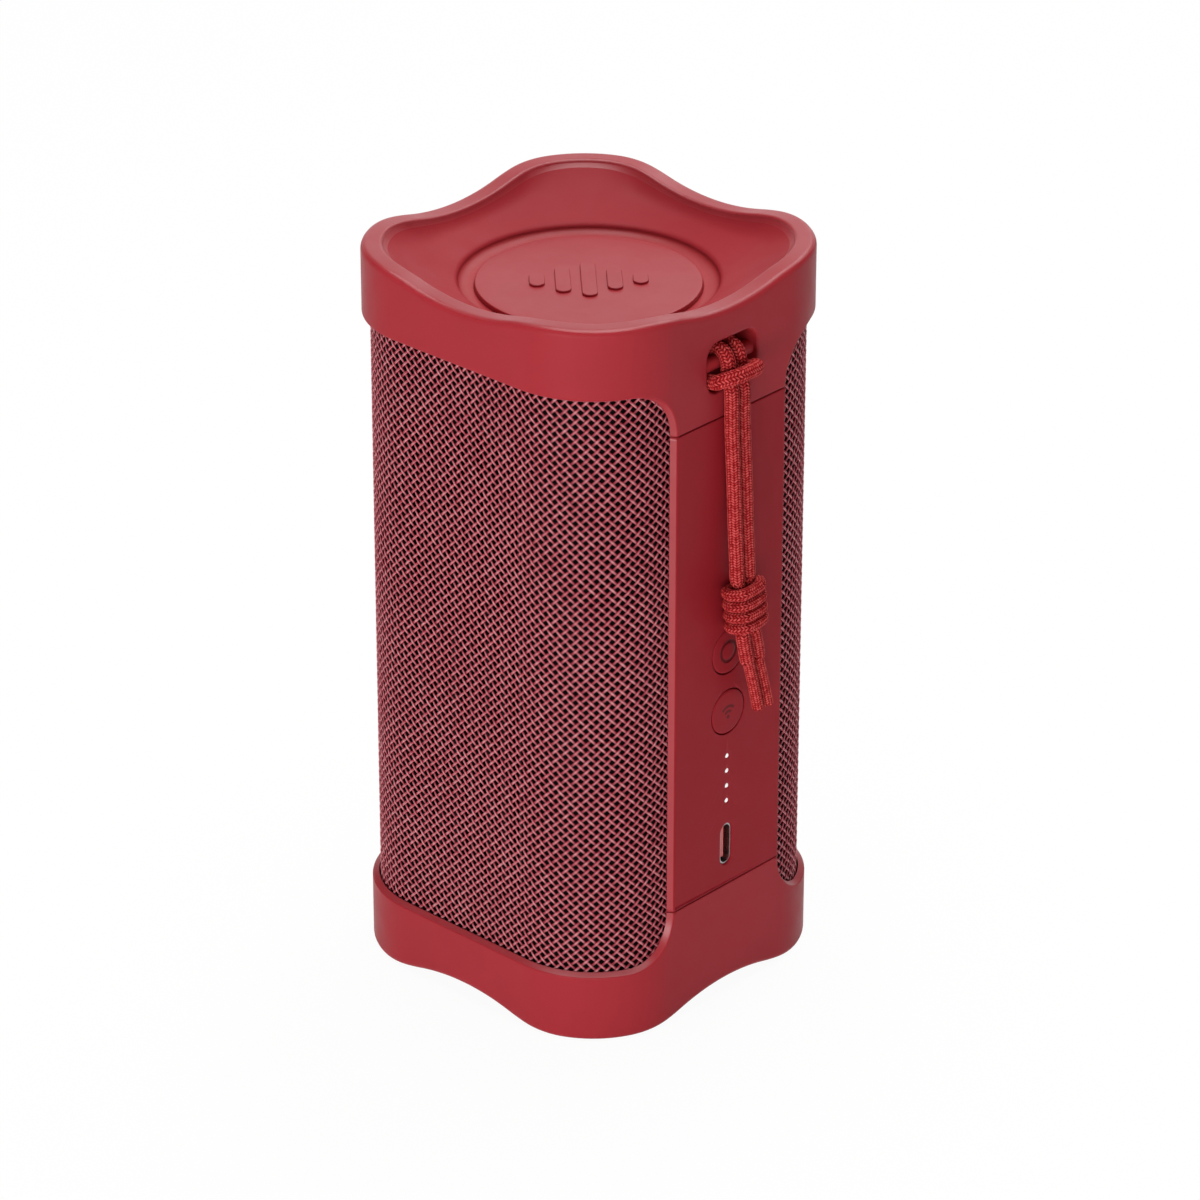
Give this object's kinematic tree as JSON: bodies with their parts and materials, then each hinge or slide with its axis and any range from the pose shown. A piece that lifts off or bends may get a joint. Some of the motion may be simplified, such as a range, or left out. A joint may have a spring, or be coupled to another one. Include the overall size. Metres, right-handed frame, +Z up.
{
  "type": "portable party speaker",
  "caption": "Upright battery speaker with wavy soft caps, woven wrap-around grilles, sprung buttons, driver cones, end radiators that move, and a knotted hanging cord.",
  "frame": {"origin": "centre of the footprint, on the surface that the feet stand on", "axes": "+Z up, -Y towards the front grille, +X towards the control panel"},
  "size_m": [0.0814, 0.074, 0.153],
  "materials": {
    "cap_soft_plastic": "soft-touch red moulding, fine matt grain",
    "panel_plastic": "soft-touch red moulding, fine matt grain",
    "grille_plastic": "black moulding",
    "woven_skin": "open plain weave of flat red filaments",
    "cabinet_plastic": "black moulding",
    "screw_steel": "zinc-plated steel",
    "radiator_rubber": "matt red rubber",
    "disc_plastic": "satin red moulding",
    "plate_steel": "plated steel",
    "magnet_black": "coated magnet",
    "cone_black": "coated paper, moulded",
    "driver_rubber": "butyl rubber",
    "spider_cloth": "varnished cloth",
    "coil_copper": "enamelled copper",
    "board_green": "solder mask",
    "chip_black": "moulded package",
    "lens_white": "milky clear moulding",
    "socket_steel": "nickel plated",
    "cell_wrap": "shrink wrap over a steel can",
    "bar_plastic": "red rod",
    "cord_braid": "braided polyester cord"
  },
  "bodies": {
    "body": {"top_cap": "cap_soft_plastic", "bottom_cap": "cap_soft_plastic", "control_panel": "panel_plastic", "volume_panel": "panel_plastic", "front_grille": "grille_plastic", "rear_grille": "grille_plastic", "front_mesh": "woven_skin", "rear_mesh": "woven_skin", "cabinet": "cabinet_plastic", "top_end_plate": "cabinet_plastic", "bottom_end_plate": "cabinet_plastic", "end_plate_screws": "screw_steel", "top_surround": "radiator_rubber", "bottom_surround": "radiator_rubber", "front_basket": "cabinet_plastic", "front_top_plate": "plate_steel", "front_magnet": "magnet_black", "front_yoke": "plate_steel", "front_spider": "spider_cloth", "front_driver_surround": "driver_rubber", "rear_basket": "cabinet_plastic", "rear_top_plate": "plate_steel", "rear_magnet": "magnet_black", "rear_yoke": "plate_steel", "rear_spider": "spider_cloth", "rear_driver_surround": "driver_rubber", "driver_screws": "screw_steel", "main_board": "board_green", "board_chips": "chip_black", "key_board": "board_green", "button_switches": "chip_black", "board_screws": "screw_steel", "light_lens": "lens_white", "usb_shell": "socket_steel", "usb_tongue": "chip_black", "battery_holder": "cabinet_plastic", "battery_cells": "cell_wrap", "battery_board": "board_green", "strap_bar": "bar_plastic", "strap_loop": "cord_braid", "strap_left": "cord_braid", "strap_right": "cord_braid", "strap_knot": "cord_braid"},
    "power": {"power_button": "panel_plastic"},
    "pairing": {"pairing_button": "panel_plastic"},
    "volume_up": {"volume_up_button": "panel_plastic"},
    "play": {"play_button": "panel_plastic"},
    "volume_down": {"volume_down_button": "panel_plastic"},
    "top_radiator": {"top_disc": "disc_plastic", "top_weight": "plate_steel", "top_emblem": "disc_plastic"},
    "bottom_radiator": {"bottom_disc": "disc_plastic", "bottom_weight": "plate_steel"},
    "front_cone_group": {"front_coil": "coil_copper", "front_cone": "cone_black", "front_dust_cap": "cone_black"},
    "rear_cone_group": {"rear_coil": "coil_copper", "rear_cone": "cone_black", "rear_dust_cap": "cone_black"}
  },
  "joints": [
    {"name": "power_press", "type": "slide", "parent": "body", "child": "power", "axis": [-1, 0, 0], "range_m": [0, 0.0006], "stiffness_N_per_m": 2000},
    {"name": "pairing_press", "type": "slide", "parent": "body", "child": "pairing", "axis": [-1, 0, 0], "range_m": [0, 0.0006], "stiffness_N_per_m": 2000},
    {"name": "volume_up_press", "type": "slide", "parent": "body", "child": "volume_up", "axis": [1, 0, 0], "range_m": [0, 0.0006], "stiffness_N_per_m": 2000},
    {"name": "play_press", "type": "slide", "parent": "body", "child": "play", "axis": [1, 0, 0], "range_m": [0, 0.0006], "stiffness_N_per_m": 2000},
    {"name": "volume_down_press", "type": "slide", "parent": "body", "child": "volume_down", "axis": [1, 0, 0], "range_m": [0, 0.0006], "stiffness_N_per_m": 2000},
    {"name": "top_radiator_slide", "type": "slide", "parent": "body", "child": "top_radiator", "axis": [0, 0, 1], "range_m": [-0.0025, 0.0025], "stiffness_N_per_m": 2500, "deforming": ["top_surround"]},
    {"name": "bottom_radiator_slide", "type": "slide", "parent": "body", "child": "bottom_radiator", "axis": [0, 0, 1], "range_m": [-0.0025, 0.0025], "stiffness_N_per_m": 2500, "deforming": ["bottom_surround"]},
    {"name": "front_cone_slide", "type": "slide", "parent": "body", "child": "front_cone_group", "axis": [0, -1, 0], "range_m": [-0.002, 0.002], "stiffness_N_per_m": 1500, "deforming": ["front_driver_surround", "front_spider"]},
    {"name": "rear_cone_slide", "type": "slide", "parent": "body", "child": "rear_cone_group", "axis": [0, 1, 0], "range_m": [-0.002, 0.002], "stiffness_N_per_m": 1500, "deforming": ["rear_driver_surround", "rear_spider"]}
  ]
}
